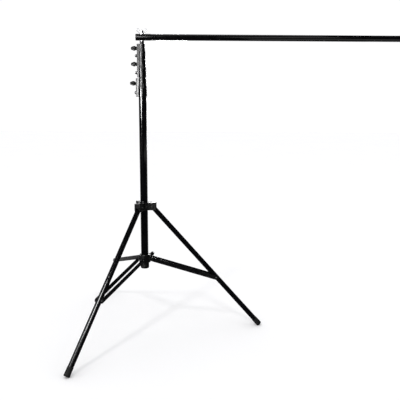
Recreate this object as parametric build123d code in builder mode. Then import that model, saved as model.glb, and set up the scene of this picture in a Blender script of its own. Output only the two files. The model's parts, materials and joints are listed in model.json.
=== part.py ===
from build123d import *
import os
from math import asin, cos, degrees, hypot, radians, sin, sqrt

# A black telescopic tripod stand with a crossbar clamped on its top stud.
# Millimetres, +Z up. The origin is the floor point on the column's axis, and the
# crossbar lies along +X. Each piece is written to its own file in parts/.

# ---------------------------------------------------------------- column
# Each section: outer radius, height of its lower end and of its upper end.
WALL = 1.3
BASE_RADIUS, BASE_BOTTOM, BASE_TOP = 17.5, 303.0, 1143.0
SECOND_RADIUS, SECOND_BOTTOM, SECOND_TOP = 15.0, 315.0, 1228.0
THIRD_RADIUS, THIRD_BOTTOM, THIRD_TOP = 12.5, 327.0, 1303.0
TOP_RADIUS, TOP_BOTTOM, TOP_TOP = 9.5, 339.0, 1349.4

SLIDE_FIT = 0.1       # radial clearance of a sliding fit
SNUG = 0.02           # radial clearance between pieces fixed together
PIVOT_FIT = 0.08      # radial clearance of a hinge pin
GAP = 0.35            # clearance between faces that only pass each other
BUSH_LENGTH, BUSH_FLANGE, BUSH_LIP = 30.0, 4.0, 1.0

CAP_RADIUS, CAP_BOTTOM, CAP_TOP, CAP_ROUND, CAP_LIP = 20.3, 298.6, 328.4, 4.0, 1.0
STUD_PLUG, STUD_CHAMFER, SHOULDER_CHAMFER = 26.0, 1.0, 0.6

# ---------------------------------------------------------------- tripod
FIRST_LEG_AZIMUTH = 1.8
LEG_NAMES = ("a", "b", "c")
LEG_RADIUS, LEG_WALL = 12.0, 1.2
LEG_PIVOT_RADIUS, LEG_PIVOT_Z = 39.0, 599.0
LEG_SPREAD = 41.3     # degrees from straight down
LEG_HEAD = 14.0       # from the pivot to the start of the leg's tube
LEG_PLUG = 20.0
FOOT_END_Z = 5.0      # height of the centre of the foot's end, before its sole is cut flat
FOOT_RADIUS, FOOT_LENGTH, FOOT_FLOOR, FOOT_ROUND, FOOT_LIP = 13.2, 38.0, 9.0, 3.0, 0.6
LEG_BOLT_RADIUS, LEG_BOLT_FLATS, LEG_BOLT_HEAD = 4.0, 13.0, 4.5
THREAD_SHOWING = 1.5

YOKE_BOTTOM, YOKE_TOP, YOKE_RING = 583.5, 619.0, 23.5
LUG_REACH, LUG_WIDTH, LUG_WEB = 58.0, 33.0, 5.0
LUG_GAP = 26.4        # between the cheeks
LUG_END_WEB, LUG_INSET = 3.0, 2.0
LUG_MOUTH_TOP, LUG_MOUTH_CUT = 599.6, 16.0  # the end web starts here, and stops the opened leg
LUG_CORNER, YOKE_EDGE = 4.0, 1.5
RIVET_RADIUS, RIVET_HEAD, RIVET_HEAD_HEIGHT, RIVET_Z = 2.5, 4.5, 2.2, 601.0

LOWER_BOTTOM, LOWER_TOP, LOWER_RING = 328.9, 366.0, 23.5
BRACE_PIVOT_RADIUS, BRACE_PIVOT_Z = 36.0, 344.6
TONGUE_WIDTH, TONGUE_NOSE = 27.0, 9.5
TONGUE_ROOT_IN, TONGUE_ROOT_OUT, TONGUE_STEP = 8.0, 27.0, 2.0
BRACE_OUT_RADIUS, BRACE_OUT_Z = 346.6, 248.8
BAR_WIDTH, BAR_THICK, BAR_INSIDE = 20.0, 3.0, 14.0
BRACE_BOLT_RADIUS, BRACE_BOLT_FLATS, BRACE_BOLT_HEAD = 3.0, 10.0, 3.5
STUB_SHANK, STUB_SHOULDER, STUB_CLEAR = 4.0, 6.0, 12.4
# A stub rivet's domed head, as (radius, height above the bar) points.
STUB_HEAD = [(6.6, 0.0), (6.6, 1.6), (4.6, 3.4), (0, 3.8)]
FOLDED_SPREAD = 8.0    # where a folded leg comes to rest against the brace collar
LOCK_BOSS_RADIUS, LOCK_BOSS_REACH, LOCK_Z = 9.5, 50.0, 353.0

# ---------------------------------------------------------------- collars
# Each collar: its lower end and height, ring radius low and high, boss reach, heights of
# its bolt and its knob, and how far the bolt stands out of the boss.
BASE_COLLAR = dict(bottom=1107.0, height=81.0, low=20.0, high=17.2, boss=29.0,
                   bolt_z=1125.1, knob_z=1165.8, bolt_out=6.4)
SECOND_COLLAR = dict(bottom=1193.0, height=77.6, low=17.4, high=14.8, boss=23.1,
                     bolt_z=1212.6, knob_z=1250.0, bolt_out=9.3)
THIRD_COLLAR = dict(bottom=1271.2, height=66.8, low=15.0, high=12.8, boss=22.5,
                    bolt_z=1286.8, knob_z=1318.7, bolt_out=9.3)
BOSS_WIDTH, BOSS_ROUND = 19.0, 5.0
SHOE_RADIUS, SHOE_THICK, SHOE_WRAP = 5.5, 3.0, 2.5
SCREW_RADIUS, SCREW_SHORT, SCREW_CHAMFER = 4.0, 0.5, 0.8
CLAMP_BOLT_RADIUS, CLAMP_BOLT_CLEAR = 3.5, 0.5
CLAMP_HEAD_FLATS, CLAMP_HEAD_HEIGHT, CLAMP_WASHER, CLAMP_END_RADIUS = 13.0, 4.2, 1.2, 5.3
COLLAR_WAIST, COLLAR_SHOULDER = 0.42, 0.74  # where a collar's ring starts and ends its taper
COLLAR_EDGE = 1.2

KNOB_LENGTH, KNOB_FLANGE, KNOB_FLANGE_THICK = 26.5, 7.6, 3.0
KNOB_LOBES, KNOB_CORE, KNOB_LOBE_AT, KNOB_LOBE = 5, 7.2, 6.9, 3.5
KNOB_BORE = 16.0
# The knob's side, as (radius, height) points from its flange to its nose.
KNOB_SIDE_LINE = [(8.6, 5.0), (10.6, 8.0), (10.6, 15.0), (5.2, KNOB_LENGTH)]

# ---------------------------------------------------------------- crossbar
BAR_Z = 1367.1
BAR_RADIUS, BAR_WALL = 13.5, 1.2
BAR_START, BAR_END = -25.5, 1235.0
SLEEVE_RADIUS, SLEEVE_START, SLEEVE_END = 14.4, -26.0, 39.5
INNER_RADIUS, INNER_START, INNER_END = 11.0, 150.0, 1376.0
FAR_HOLE_X, FAR_HOLE_RADIUS = 1350.0, 5.0
FAR_SLEEVE_START = 1311.0
CAP_DISC, CAP_PLUG, DISC_ROUND = 1.5, 12.0, 0.9
JOINT_START, JOINT_LENGTH, JOINT_RADIUS, JOINT_BOSS = 1203.0, 60.0, 17.5, 24.0
JOINT_SCREW_X, JOINT_BOSS_RADIUS, JOINT_EDGE = 1250.0, 9.0, 1.5

STUD_RADIUS, STUD_TOP = 4.0, 1398.0
STUD_HOLE_RADIUS = 4.4
SHOULDER_TOP = BAR_Z - SLEEVE_RADIUS - GAP
WASHER_RADIUS, WASHER_THICK = 10.0, 1.5
WASHER_BOTTOM = BAR_Z + SLEEVE_RADIUS + SNUG
NUT_BOTTOM = WASHER_BOTTOM + WASHER_THICK + GAP
NUT_LOW, NUT_HIGH, NUT_HEIGHT = 8.2, 6.4, 11.5
WING_AZIMUTH, WING_THICK, WING_REACH, WING_TOP = 14.0, 3.6, 23.5, 1404.0
WING_FOOT, WING_ROOT, WING_PEAK, WING_CROTCH, WING_BELLY = 2.0, 10.0, 18.0, 6.0, 0.62

# ---------------------------------------------------------------- directions
UP = Vector(0, 0, 1)
KNOB_SIDE = Vector(-1, 0, 0)
LEG_AZIMUTHS = [FIRST_LEG_AZIMUTH + 120 * step for step in range(3)]
LOCK_AZIMUTH = FIRST_LEG_AZIMUTH + 60


def outward(azimuth):
    return Vector(cos(radians(azimuth)), sin(radians(azimuth)), 0)


def sideways(azimuth):
    """The direction of a leg's hinge pin."""
    return Vector(-sin(radians(azimuth)), cos(radians(azimuth)), 0)


def leg_direction(azimuth):
    return outward(azimuth) * sin(radians(LEG_SPREAD)) - UP * cos(radians(LEG_SPREAD))


def leg_pivot(azimuth):
    return outward(azimuth) * LEG_PIVOT_RADIUS + UP * LEG_PIVOT_Z


def brace_pivot(azimuth):
    return outward(azimuth) * BRACE_PIVOT_RADIUS + UP * BRACE_PIVOT_Z


def brace_end(azimuth):
    return outward(azimuth) * BRACE_OUT_RADIUS + UP * BRACE_OUT_Z


def leg_plane(azimuth, along):
    """The plane across a leg, at a distance along it from its pivot."""
    down = leg_direction(azimuth)
    return Plane(origin=leg_pivot(azimuth) + down * along, x_dir=sideways(azimuth), z_dir=down)


def bar_plane(x):
    """The plane across the crossbar at x."""
    return Plane(origin=(x, 0, BAR_Z), x_dir=(0, 1, 0), z_dir=(1, 0, 0))


def side_of(plane):
    """The plane that holds the given plane's x direction and its normal as x and y."""
    return Plane(origin=plane.origin, x_dir=plane.x_dir, z_dir=-plane.y_dir)


def knob_plane(reach, height):
    """The plane on a collar boss's face, looking out along the knob's screw."""
    return Plane(origin=KNOB_SIDE * reach + UP * height, x_dir=(0, 1, 0), z_dir=KNOB_SIDE)


def save(part, name):
    """Label a finished piece and write its file."""
    part.label = name
    export_step(part, f"parts/{name}.step")


# ---------------------------------------------------------------- shared shapes
def turned(plane, outline):
    """A solid of revolution about the plane's normal, from (radius, height) points."""
    with BuildPart() as body:
        with BuildSketch(side_of(plane)):
            with BuildLine():
                Polyline(*outline, close=True)
            make_face()
        revolve(axis=Axis(plane.origin, plane.z_dir))
    return body.part


def tube(plane, radius, wall, length):
    """A plain round tube that starts on the plane."""
    with BuildPart() as body:
        with BuildSketch(plane):
            Circle(radius)
            Circle(radius - wall, mode=Mode.SUBTRACT)
        extrude(amount=length)
    return body.part


def guide_bush(plane, tube_radius, bore_radius):
    """A nylon bush on a tube's inner end, which slides in the next tube's bore."""
    run = bore_radius - SLIDE_FIT
    seat = tube_radius + SNUG
    lip = tube_radius - WALL - BUSH_LIP
    return turned(plane, [(lip, -BUSH_FLANGE), (run, -BUSH_FLANGE), (run, BUSH_LENGTH),
                          (seat, BUSH_LENGTH), (seat, -SNUG), (lip, -SNUG)])


def hex_piece(plane, flats, bore, height):
    """A hexagon nut or washer-faced head on the plane, bored for its shank."""
    with BuildPart() as body:
        with BuildSketch(plane):
            RegularPolygon(radius=flats / 2, side_count=6, major_radius=False)
            Circle(bore, mode=Mode.SUBTRACT)
        extrude(amount=height)
    return body.part


# ---------------------------------------------------------------- knobs and brakes
def clamp_knob(plane, name):
    """A lobed plastic knob that tapers to a blunt nose, with a flange against its boss."""
    nose = [(0, 0), (KNOB_FLANGE, 0), (KNOB_FLANGE, KNOB_FLANGE_THICK),
            *KNOB_SIDE_LINE, (0, KNOB_LENGTH)]
    foot = plane.offset(GAP)
    with BuildPart() as knob:
        with BuildSketch(foot):
            Circle(KNOB_FLANGE)
        extrude(amount=KNOB_FLANGE_THICK)
        with BuildSketch(foot.offset(KNOB_FLANGE_THICK)):
            Circle(KNOB_CORE)
            with PolarLocations(KNOB_LOBE_AT, KNOB_LOBES):
                Circle(KNOB_LOBE)
        extrude(amount=KNOB_LENGTH)
        with BuildSketch(side_of(foot)):
            with BuildLine():
                Polyline(*nose, close=True)
            make_face()
        revolve(axis=Axis(foot.origin, foot.z_dir), mode=Mode.INTERSECT)
        with BuildSketch(foot):
            Circle(SCREW_RADIUS + SNUG)
        extrude(amount=KNOB_BORE, mode=Mode.SUBTRACT)
    save(knob.part, name)


def knob_screw(plane, depth, name):
    """A knob's steel screw: it reaches from inside the knob to just short of the brake shoe."""
    with BuildPart() as screw:
        with BuildSketch(plane.offset(-depth)):
            Circle(SCREW_RADIUS)
        extrude(amount=depth + GAP + KNOB_BORE - SCREW_SHORT)
        chamfer(screw.edges().filter_by(GeomType.CIRCLE), SCREW_CHAMFER)
    save(screw.part, name)


def brake_shoe(direction, height, tube_radius, name):
    """A pad between a knob's screw and the tube, hollowed to the tube's curve."""
    start = tube_radius + SLIDE_FIT + SHOE_THICK
    back = Plane(origin=direction * start + UP * height, z_dir=-direction)
    with BuildPart() as shoe:
        with BuildSketch(back):
            Circle(SHOE_RADIUS)
        extrude(amount=SHOE_THICK + SHOE_WRAP)
        with BuildSketch(Plane.XY.offset(height)):
            Circle(tube_radius + SLIDE_FIT)
        extrude(amount=2 * SHOE_RADIUS, both=True, mode=Mode.SUBTRACT)
    save(shoe.part, name)


# ---------------------------------------------------------------- locking collars
def locking_collar(size, seat_radius, guide_radius, seat_top, name):
    """A collar clamped on one tube's top, with a boss for its knob and its clamp bolt."""
    bottom, height = size["bottom"], size["height"]
    top = bottom + height
    low_end, high_start = bottom + COLLAR_WAIST * height, bottom + COLLAR_SHOULDER * height
    shoe_depth = guide_radius + SHOE_THICK + SLIDE_FIT + GAP
    with BuildPart() as collar:
        with BuildSketch(Plane.XZ):
            with BuildLine():
                Polyline((0, bottom), (size["low"], bottom), (size["low"], low_end))
                Spline((size["low"], low_end), (size["high"], high_start),
                       tangents=((0, 1), (0, 1)))
                Polyline((size["high"], high_start), (size["high"], top), (0, top), (0, bottom))
            make_face()
        revolve(axis=Axis.Z)
        with BuildSketch(Plane.XY.offset(bottom)):
            with BuildLine():
                half = BOSS_WIDTH / 2
                left = -size["boss"]
                FilletPolyline((0, half), (left, half), (left, -half), (0, -half),
                               radius=BOSS_ROUND)
                Line((0, -half), (0, half))
            make_face()
        extrude(amount=height)
        fillet(collar.faces().sort_by(Axis.Z)[-1].edges(), COLLAR_EDGE)
        fillet(collar.faces().sort_by(Axis.Z)[0].edges(), COLLAR_EDGE)
        with BuildSketch(Plane.XY.offset(bottom)):
            Circle(guide_radius)
        extrude(amount=height, mode=Mode.SUBTRACT)
        with BuildSketch(Plane.XY.offset(bottom)):
            Circle(seat_radius + SNUG)
        extrude(amount=seat_top - bottom + SNUG, mode=Mode.SUBTRACT)
        with BuildSketch(knob_plane(size["boss"], size["knob_z"])):
            Circle(SCREW_RADIUS + GAP)
        extrude(amount=-size["boss"], mode=Mode.SUBTRACT)
        with BuildSketch(knob_plane(shoe_depth, size["knob_z"])):
            Circle(SHOE_RADIUS + SLIDE_FIT)
        extrude(amount=-shoe_depth, mode=Mode.SUBTRACT)
        with BuildSketch(knob_plane(size["boss"], size["bolt_z"])):
            Circle(CLAMP_BOLT_RADIUS + SNUG)
        extrude(amount=-size["boss"], mode=Mode.SUBTRACT)
    save(collar.part, name)


def clamp_bolt(size, tube_radius, name):
    """The bolt that fixes a collar on its tube: washer, hexagon head and shank."""
    face = knob_plane(size["boss"], size["bolt_z"])
    depth = size["boss"] - tube_radius - CLAMP_BOLT_CLEAR
    with BuildPart() as bolt:
        with BuildSketch(face.offset(-depth)):
            Circle(CLAMP_BOLT_RADIUS)
        extrude(amount=depth + CLAMP_WASHER)
        with BuildSketch(face):
            Circle(CLAMP_HEAD_FLATS / 2 + CLAMP_WASHER)
        extrude(amount=CLAMP_WASHER)
        with BuildSketch(face.offset(CLAMP_WASHER)):
            RegularPolygon(radius=CLAMP_HEAD_FLATS / 2, side_count=6, major_radius=False)
        extrude(amount=CLAMP_HEAD_HEIGHT)
        with BuildSketch(face):
            Circle(CLAMP_END_RADIUS)
        extrude(amount=size["bolt_out"])
    save(bolt.part, name)


def build_collars():
    """The three locking collars, with their bolts, shoes, knobs and screws."""
    jobs = (("base", BASE_COLLAR, BASE_RADIUS, SECOND_RADIUS, BASE_TOP),
            ("second", SECOND_COLLAR, SECOND_RADIUS, THIRD_RADIUS, SECOND_TOP),
            ("third", THIRD_COLLAR, THIRD_RADIUS, TOP_RADIUS, THIRD_TOP))
    for name, size, seat, guide, seat_top in jobs:
        locking_collar(size, seat, guide + SLIDE_FIT, seat_top, f"{name}_collar")
        clamp_bolt(size, seat, f"{name}_collar_bolt")
        face = knob_plane(size["boss"], size["knob_z"])
        brake_shoe(KNOB_SIDE, size["knob_z"], guide, f"{name}_brake_shoe")
        clamp_knob(face, f"{name}_knob")
        reach = size["boss"] - guide - SLIDE_FIT - SHOE_THICK - GAP
        knob_screw(face, reach, f"{name}_knob_screw")


# ---------------------------------------------------------------- column pieces
def build_column():
    """The four tubes, their guide bushes, the end cap and the top stud."""
    sections = (("base", BASE_RADIUS, BASE_BOTTOM, BASE_TOP),
                ("second", SECOND_RADIUS, SECOND_BOTTOM, SECOND_TOP),
                ("third", THIRD_RADIUS, THIRD_BOTTOM, THIRD_TOP),
                ("top", TOP_RADIUS, TOP_BOTTOM, TOP_TOP))
    for name, radius, low, high in sections:
        save(tube(Plane.XY.offset(low), radius, WALL, high - low), f"{name}_tube")
    for (name, radius, low, _), (_, around, _, _) in zip(sections[1:], sections):
        bush = guide_bush(Plane.XY.offset(low), radius, around - WALL)
        save(bush, f"{name}_guide_bush")


def end_cap():
    """The rubber cap on the column's lower end, on which the brace collar rests."""
    with BuildPart() as cap:
        with BuildSketch(Plane.XY.offset(CAP_BOTTOM)):
            Circle(CAP_RADIUS)
        extrude(amount=CAP_TOP - CAP_BOTTOM)
        fillet(cap.edges().group_by(Axis.Z)[0], CAP_ROUND)
        fillet(cap.edges().group_by(Axis.Z)[-1], CAP_LIP)
        with BuildSketch(Plane.XY.offset(BASE_BOTTOM)):
            Circle(BASE_RADIUS + SNUG)
        extrude(amount=CAP_TOP - BASE_BOTTOM, mode=Mode.SUBTRACT)
    save(cap.part, "base_end_cap")


def top_stud():
    """The top tube's plug, with a shoulder for the crossbar and a stud through it."""
    plug = TOP_RADIUS - WALL - SNUG
    plug_end = TOP_TOP - STUD_PLUG
    outline = [(0, plug_end), (plug, plug_end), (plug, TOP_TOP), (TOP_RADIUS, TOP_TOP),
               (TOP_RADIUS, SHOULDER_TOP - SHOULDER_CHAMFER),
               (TOP_RADIUS - SHOULDER_CHAMFER, SHOULDER_TOP),
               (STUD_RADIUS, SHOULDER_TOP), (STUD_RADIUS, STUD_TOP - STUD_CHAMFER),
               (STUD_RADIUS - STUD_CHAMFER, STUD_TOP), (0, STUD_TOP)]
    save(turned(Plane.XY, outline), "top_stud")


# ---------------------------------------------------------------- tripod pieces
def leg_yoke():
    """The fixed collar: a ring with three downward channels that hold the legs' heads."""
    inner = YOKE_RING + LUG_INSET
    outer = LUG_REACH - LUG_END_WEB
    with BuildPart() as yoke:
        with BuildSketch(Plane.XY.offset(YOKE_BOTTOM)):
            Circle(YOKE_RING)
            with PolarLocations(LUG_REACH / 2, 3, start_angle=FIRST_LEG_AZIMUTH):
                Rectangle(LUG_REACH, LUG_WIDTH)
        extrude(amount=YOKE_TOP - YOKE_BOTTOM)
        uprights = yoke.edges().filter_by(Axis.Z)
        corners = uprights.filter_by(lambda edge: hypot(edge.center().X, edge.center().Y) > LUG_REACH)
        fillet(corners, LUG_CORNER)
        fillet(yoke.faces().sort_by(Axis.Z)[-1].edges(), YOKE_EDGE)
        with BuildSketch(Plane.XY.offset(YOKE_BOTTOM)):
            with PolarLocations((inner + outer) / 2, 3, start_angle=FIRST_LEG_AZIMUTH):
                Rectangle(outer - inner, LUG_GAP)
        extrude(amount=YOKE_TOP - LUG_WEB - YOKE_BOTTOM, mode=Mode.SUBTRACT)
        with BuildSketch(Plane.XY.offset(YOKE_BOTTOM)):
            with PolarLocations(outer, 3, start_angle=FIRST_LEG_AZIMUTH):
                Rectangle(LUG_MOUTH_CUT, LUG_GAP)
        extrude(amount=LUG_MOUTH_TOP - YOKE_BOTTOM, mode=Mode.SUBTRACT)
        with BuildSketch(Plane.XY.offset(YOKE_BOTTOM)):
            Circle(BASE_RADIUS + SNUG)
        extrude(amount=YOKE_TOP - YOKE_BOTTOM, mode=Mode.SUBTRACT)
        for azimuth in LEG_AZIMUTHS:
            with BuildSketch(Plane(origin=leg_pivot(azimuth), z_dir=sideways(azimuth))):
                Circle(LEG_BOLT_RADIUS + SNUG)
            extrude(amount=LUG_WIDTH, both=True, mode=Mode.SUBTRACT)
        for azimuth in LEG_AZIMUTHS:
            out = outward(azimuth + 60)
            with BuildSketch(Plane(origin=UP * RIVET_Z, z_dir=out)):
                Circle(RIVET_RADIUS + SNUG)
            extrude(amount=YOKE_RING, mode=Mode.SUBTRACT)
    save(yoke.part, "leg_yoke")


def yoke_rivets():
    """Three rivets, between the lugs, that fix the yoke on the base tube."""
    with BuildPart() as rivets:
        for azimuth in LEG_AZIMUTHS:
            out = outward(azimuth + 60)
            shank = YOKE_RING - BASE_RADIUS
            face = Plane(origin=UP * RIVET_Z + out * (BASE_RADIUS + SLIDE_FIT), z_dir=out)
            with BuildSketch(face):
                Circle(RIVET_RADIUS)
            extrude(amount=shank)
            with BuildSketch(face.offset(shank)):
                Circle(RIVET_HEAD)
            extrude(amount=RIVET_HEAD_HEIGHT)
    save(rivets.part, "yoke_rivets")


def through_bolt(plane, shank, half_width, head_flats, head_height):
    """A bolt through a pair of faces, centred on the plane: head on its -z side."""
    with BuildPart() as bolt:
        with BuildSketch(plane.offset(-half_width - head_height)):
            RegularPolygon(radius=head_flats / 2, side_count=6, major_radius=False)
        extrude(amount=head_height)
        with BuildSketch(plane.offset(-half_width)):
            Circle(shank)
        extrude(amount=2 * half_width + head_height + THREAD_SHOWING)
    return bolt.part


def pivot_fasteners(name, pivots, shank, half_width, flats, height):
    """Each pivot's bolt and nut, as separate solids in one file."""
    with BuildPart() as fasteners:
        for azimuth, pivot in pivots:
            plane = Plane(origin=pivot, x_dir=UP, z_dir=sideways(azimuth))
            add(through_bolt(plane, shank, half_width, flats, height))
    bolts = fasteners.part.solids()
    nuts = []
    for azimuth, pivot in pivots:
        plane = Plane(origin=pivot, x_dir=UP, z_dir=sideways(azimuth))
        nut = hex_piece(plane.offset(half_width), flats, shank + SNUG, height)
        nuts += nut.solids()
    save(Compound(children=list(bolts) + nuts), name)


def leg_head(azimuth, name):
    """The head that turns in the yoke: a round end, and a spigot into the leg's tube."""
    across = leg_plane(azimuth, 0)
    spigot = LEG_RADIUS - LEG_WALL - SNUG
    spigot_end = LEG_HEAD + LEG_PLUG
    with BuildPart() as head:
        with BuildSketch(side_of(across)):
            with BuildLine():
                CenterArc((0, 0), LEG_RADIUS, -90, 90)
                Polyline((LEG_RADIUS, 0), (LEG_RADIUS, LEG_HEAD), (spigot, LEG_HEAD),
                         (spigot, spigot_end), (0, spigot_end), (0, -LEG_RADIUS))
            make_face()
        revolve(axis=Axis(across.origin, across.z_dir))
        with BuildSketch(Plane(origin=leg_pivot(azimuth), z_dir=sideways(azimuth))):
            Circle(LEG_BOLT_RADIUS + PIVOT_FIT)
        extrude(amount=LEG_RADIUS, both=True, mode=Mode.SUBTRACT)
    save(head.part, name)


def leg_foot(azimuth, end, name):
    """A rubber cup on the leg's end, cut flat where it meets the floor."""
    with BuildPart() as foot:
        with BuildSketch(leg_plane(azimuth, end - FOOT_LENGTH)):
            Circle(FOOT_RADIUS)
        extrude(amount=FOOT_LENGTH)
        rims = foot.edges().filter_by(GeomType.CIRCLE).sort_by(Axis.Z)
        fillet(rims[0], FOOT_ROUND)
        chamfer(rims[-1], FOOT_LIP)
        with BuildSketch(leg_plane(azimuth, end - FOOT_LENGTH)):
            Circle(LEG_RADIUS + SNUG)
        extrude(amount=FOOT_LENGTH - FOOT_FLOOR, mode=Mode.SUBTRACT)
        split(bisect_by=Plane.XY, keep=Keep.TOP)
    save(foot.part, name)


def build_legs():
    """Three legs: head, tube and rubber foot."""
    end = (LEG_PIVOT_Z - FOOT_END_Z) / cos(radians(LEG_SPREAD))
    for letter, azimuth in zip(LEG_NAMES, LEG_AZIMUTHS):
        length = end - FOOT_FLOOR - SNUG - LEG_HEAD
        leg_tube = tube(leg_plane(azimuth, LEG_HEAD), LEG_RADIUS, LEG_WALL, length)
        save(leg_tube, f"leg_tube_{letter}")
        leg_head(azimuth, f"leg_head_{letter}")
        leg_foot(azimuth, end, f"leg_foot_{letter}")


def brace_collar():
    """The sliding collar: a ring with three tongues for the braces and a lock boss."""
    lock = outward(LOCK_AZIMUTH)
    with BuildPart() as collar:
        with BuildSketch(Plane.XY.offset(LOWER_BOTTOM)):
            Circle(LOWER_RING)
        extrude(amount=LOWER_TOP - LOWER_BOTTOM)
        for azimuth in LEG_AZIMUTHS:
            swing = Plane(origin=UP * BRACE_PIVOT_Z, x_dir=outward(azimuth),
                          z_dir=-sideways(azimuth))
            low, high = LOWER_BOTTOM - BRACE_PIVOT_Z, LOWER_TOP - TONGUE_STEP - BRACE_PIVOT_Z
            with BuildSketch(swing):
                with BuildLine():
                    Polyline((TONGUE_ROOT_IN, low), (TONGUE_ROOT_OUT, low),
                             (TONGUE_ROOT_OUT, high), (TONGUE_ROOT_IN, high), close=True)
                    with Locations((BRACE_PIVOT_RADIUS, 0)):
                        CenterArc((0, 0), TONGUE_NOSE, 0, 360)
                make_hull()
            extrude(amount=TONGUE_WIDTH / 2, both=True)
        with BuildSketch(Plane(origin=UP * LOCK_Z, z_dir=lock)):
            Circle(LOCK_BOSS_RADIUS)
        extrude(amount=LOCK_BOSS_REACH)
        fillet(collar.faces().sort_by(Axis.Z)[-1].edges(), YOKE_EDGE)
        with BuildSketch(Plane.XY.offset(LOWER_BOTTOM)):
            Circle(BASE_RADIUS + SLIDE_FIT)
        extrude(amount=LOWER_TOP - LOWER_BOTTOM, mode=Mode.SUBTRACT)
        for azimuth in LEG_AZIMUTHS:
            with BuildSketch(Plane(origin=brace_pivot(azimuth), z_dir=sideways(azimuth))):
                Circle(BRACE_BOLT_RADIUS + SNUG)
            extrude(amount=TONGUE_WIDTH, both=True, mode=Mode.SUBTRACT)
        with BuildSketch(Plane(origin=UP * LOCK_Z, z_dir=lock)):
            Circle(SCREW_RADIUS + GAP)
        extrude(amount=LOCK_BOSS_REACH, mode=Mode.SUBTRACT)
        with BuildSketch(Plane(origin=UP * LOCK_Z, z_dir=lock)):
            Circle(SHOE_RADIUS + SLIDE_FIT)
        extrude(amount=BASE_RADIUS + 2 * SLIDE_FIT + SHOE_THICK + GAP, mode=Mode.SUBTRACT)
    save(collar.part, "brace_collar")


def build_lock():
    """The brace collar's knob, screw and brake shoe."""
    lock = outward(LOCK_AZIMUTH)
    face = Plane(origin=UP * LOCK_Z + lock * LOCK_BOSS_REACH, x_dir=UP, z_dir=lock)
    clamp_knob(face, "lock_knob")
    reach = LOCK_BOSS_REACH - BASE_RADIUS - SLIDE_FIT - SHOE_THICK - GAP
    knob_screw(face, reach, "lock_knob_screw")
    brake_shoe(lock, LOCK_Z, BASE_RADIUS, "lock_brake_shoe")


def brace_bars(azimuth, name):
    """Two flat bars, one each side of the leg, from the brace collar to the leg."""
    near, far = brace_pivot(azimuth), brace_end(azimuth)
    along = (far - near).normalized()
    span = (far - near).length
    with BuildPart() as bars:
        for offset in (BAR_INSIDE, -BAR_INSIDE - BAR_THICK):
            origin = (near + far) / 2 + sideways(azimuth) * offset
            with BuildSketch(Plane(origin=origin, x_dir=along, z_dir=sideways(azimuth))):
                SlotCenterToCenter(span, BAR_WIDTH)
                with Locations((-span / 2, 0)):
                    Circle(BRACE_BOLT_RADIUS + PIVOT_FIT, mode=Mode.SUBTRACT)
                with Locations((span / 2, 0)):
                    Circle(STUB_SHANK + SNUG, mode=Mode.SUBTRACT)
            extrude(amount=BAR_THICK)
    save(bars.part, name)


def brace_stubs(azimuth, name):
    """Two shouldered rivets at the bars' outer ends, which stop just clear of the leg."""
    stubs = []
    outer = BAR_INSIDE + BAR_THICK
    outline = [(0, STUB_CLEAR), (STUB_SHOULDER, STUB_CLEAR), (STUB_SHOULDER, BAR_INSIDE),
               (STUB_SHANK, BAR_INSIDE), (STUB_SHANK, outer)]
    outline += [(radius, outer + height) for radius, height in STUB_HEAD]
    for sign in (1, -1):
        plane = Plane(origin=brace_end(azimuth), x_dir=UP, z_dir=sideways(azimuth) * sign)
        stubs += turned(plane, outline).solids()
    save(Compound(children=stubs), name)


def build_tripod():
    """Yoke, brace collar, legs and braces, with their fasteners."""
    leg_yoke()
    yoke_rivets()
    pivot_fasteners("leg_pivot_bolts", [(a, leg_pivot(a)) for a in LEG_AZIMUTHS],
                    LEG_BOLT_RADIUS, LUG_WIDTH / 2, LEG_BOLT_FLATS, LEG_BOLT_HEAD)
    build_legs()
    brace_collar()
    build_lock()
    pivot_fasteners("brace_pivot_bolts", [(a, brace_pivot(a)) for a in LEG_AZIMUTHS],
                    BRACE_BOLT_RADIUS, BAR_INSIDE + BAR_THICK + GAP, BRACE_BOLT_FLATS,
                    BRACE_BOLT_HEAD)
    for letter, azimuth in zip(LEG_NAMES, LEG_AZIMUTHS):
        brace_bars(azimuth, f"brace_bars_{letter}")
        brace_stubs(azimuth, f"brace_rivets_{letter}")


# ---------------------------------------------------------------- crossbar pieces
def cross_tube(start, end, radius, wall, hole_x, hole_radius, name):
    """A tube along the crossbar with an upright hole through both its walls."""
    with BuildPart() as body:
        with BuildSketch(bar_plane(start)):
            Circle(radius)
            Circle(radius - wall, mode=Mode.SUBTRACT)
        extrude(amount=end - start)
        with BuildSketch(Plane(origin=(hole_x, 0, BAR_Z), z_dir=(0, 0, 1))):
            Circle(hole_radius)
        extrude(amount=2 * radius, both=True, mode=Mode.SUBTRACT)
    save(body.part, name)


def cross_cap(x, direction, disc_radius, plug_radius, name):
    """A plug with a disc that closes a tube's end and faces along direction."""
    plane = Plane(origin=(x, 0, BAR_Z), x_dir=(0, 1, 0), z_dir=(direction, 0, 0))
    with BuildPart() as cap:
        with BuildSketch(plane):
            Circle(disc_radius)
        extrude(amount=CAP_DISC)
        fillet(cap.faces().sort_by(Axis(plane.origin, plane.z_dir))[-1].edges(), DISC_ROUND)
        with BuildSketch(plane):
            Circle(plug_radius)
        extrude(amount=-CAP_PLUG)
    save(cap.part, name)


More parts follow.
